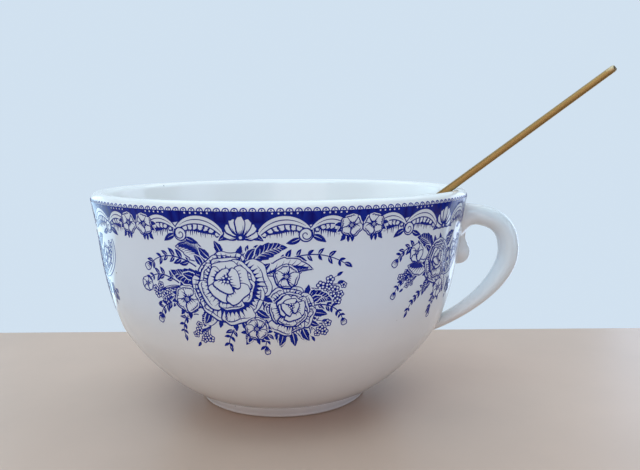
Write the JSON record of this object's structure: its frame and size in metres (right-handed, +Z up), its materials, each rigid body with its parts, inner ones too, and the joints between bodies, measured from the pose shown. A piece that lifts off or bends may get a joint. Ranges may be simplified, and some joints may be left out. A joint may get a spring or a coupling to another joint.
{
  "type": "breakfast cup",
  "caption": "Round-bellied earthenware breakfast cup on a low foot ring, with a loop handle, a blue printed floral border with hanging sprays, and a slim gold spoon leaning on the rim.",
  "frame": {"origin": "on the table, under the middle of the cup", "axes": "+Z up along the cup's axis, +X from the axis towards the handle"},
  "size_m": [0.1744, 0.1304, 0.1128],
  "materials": {
    "white_glaze": "glossy clear glaze over white earthenware",
    "slip": "fired clay slip under the glaze",
    "blue_print": "cobalt blue transfer print under glossy glaze",
    "gold_metal": "brushed gold-coloured metal"
  },
  "bodies": {
    "cup": {"bowl": "white_glaze", "foot_ring": "white_glaze", "handle": "white_glaze", "upper_slip": "slip", "lower_slip": "slip", "border_transfer": "blue_print", "spray_transfer_1": "blue_print", "spray_transfer_2": "blue_print", "spray_transfer_3": "blue_print", "spray_transfer_4": "blue_print", "spray_transfer_5": "blue_print", "spray_transfer_6": "blue_print"},
    "spoon": {"spoon": "gold_metal"}
  },
  "joints": [
    {"name": "spoon_lift", "type": "slide", "parent": "cup", "child": "spoon", "axis": [0, 0, 1], "range_m": [0, 0.08]}
  ]
}
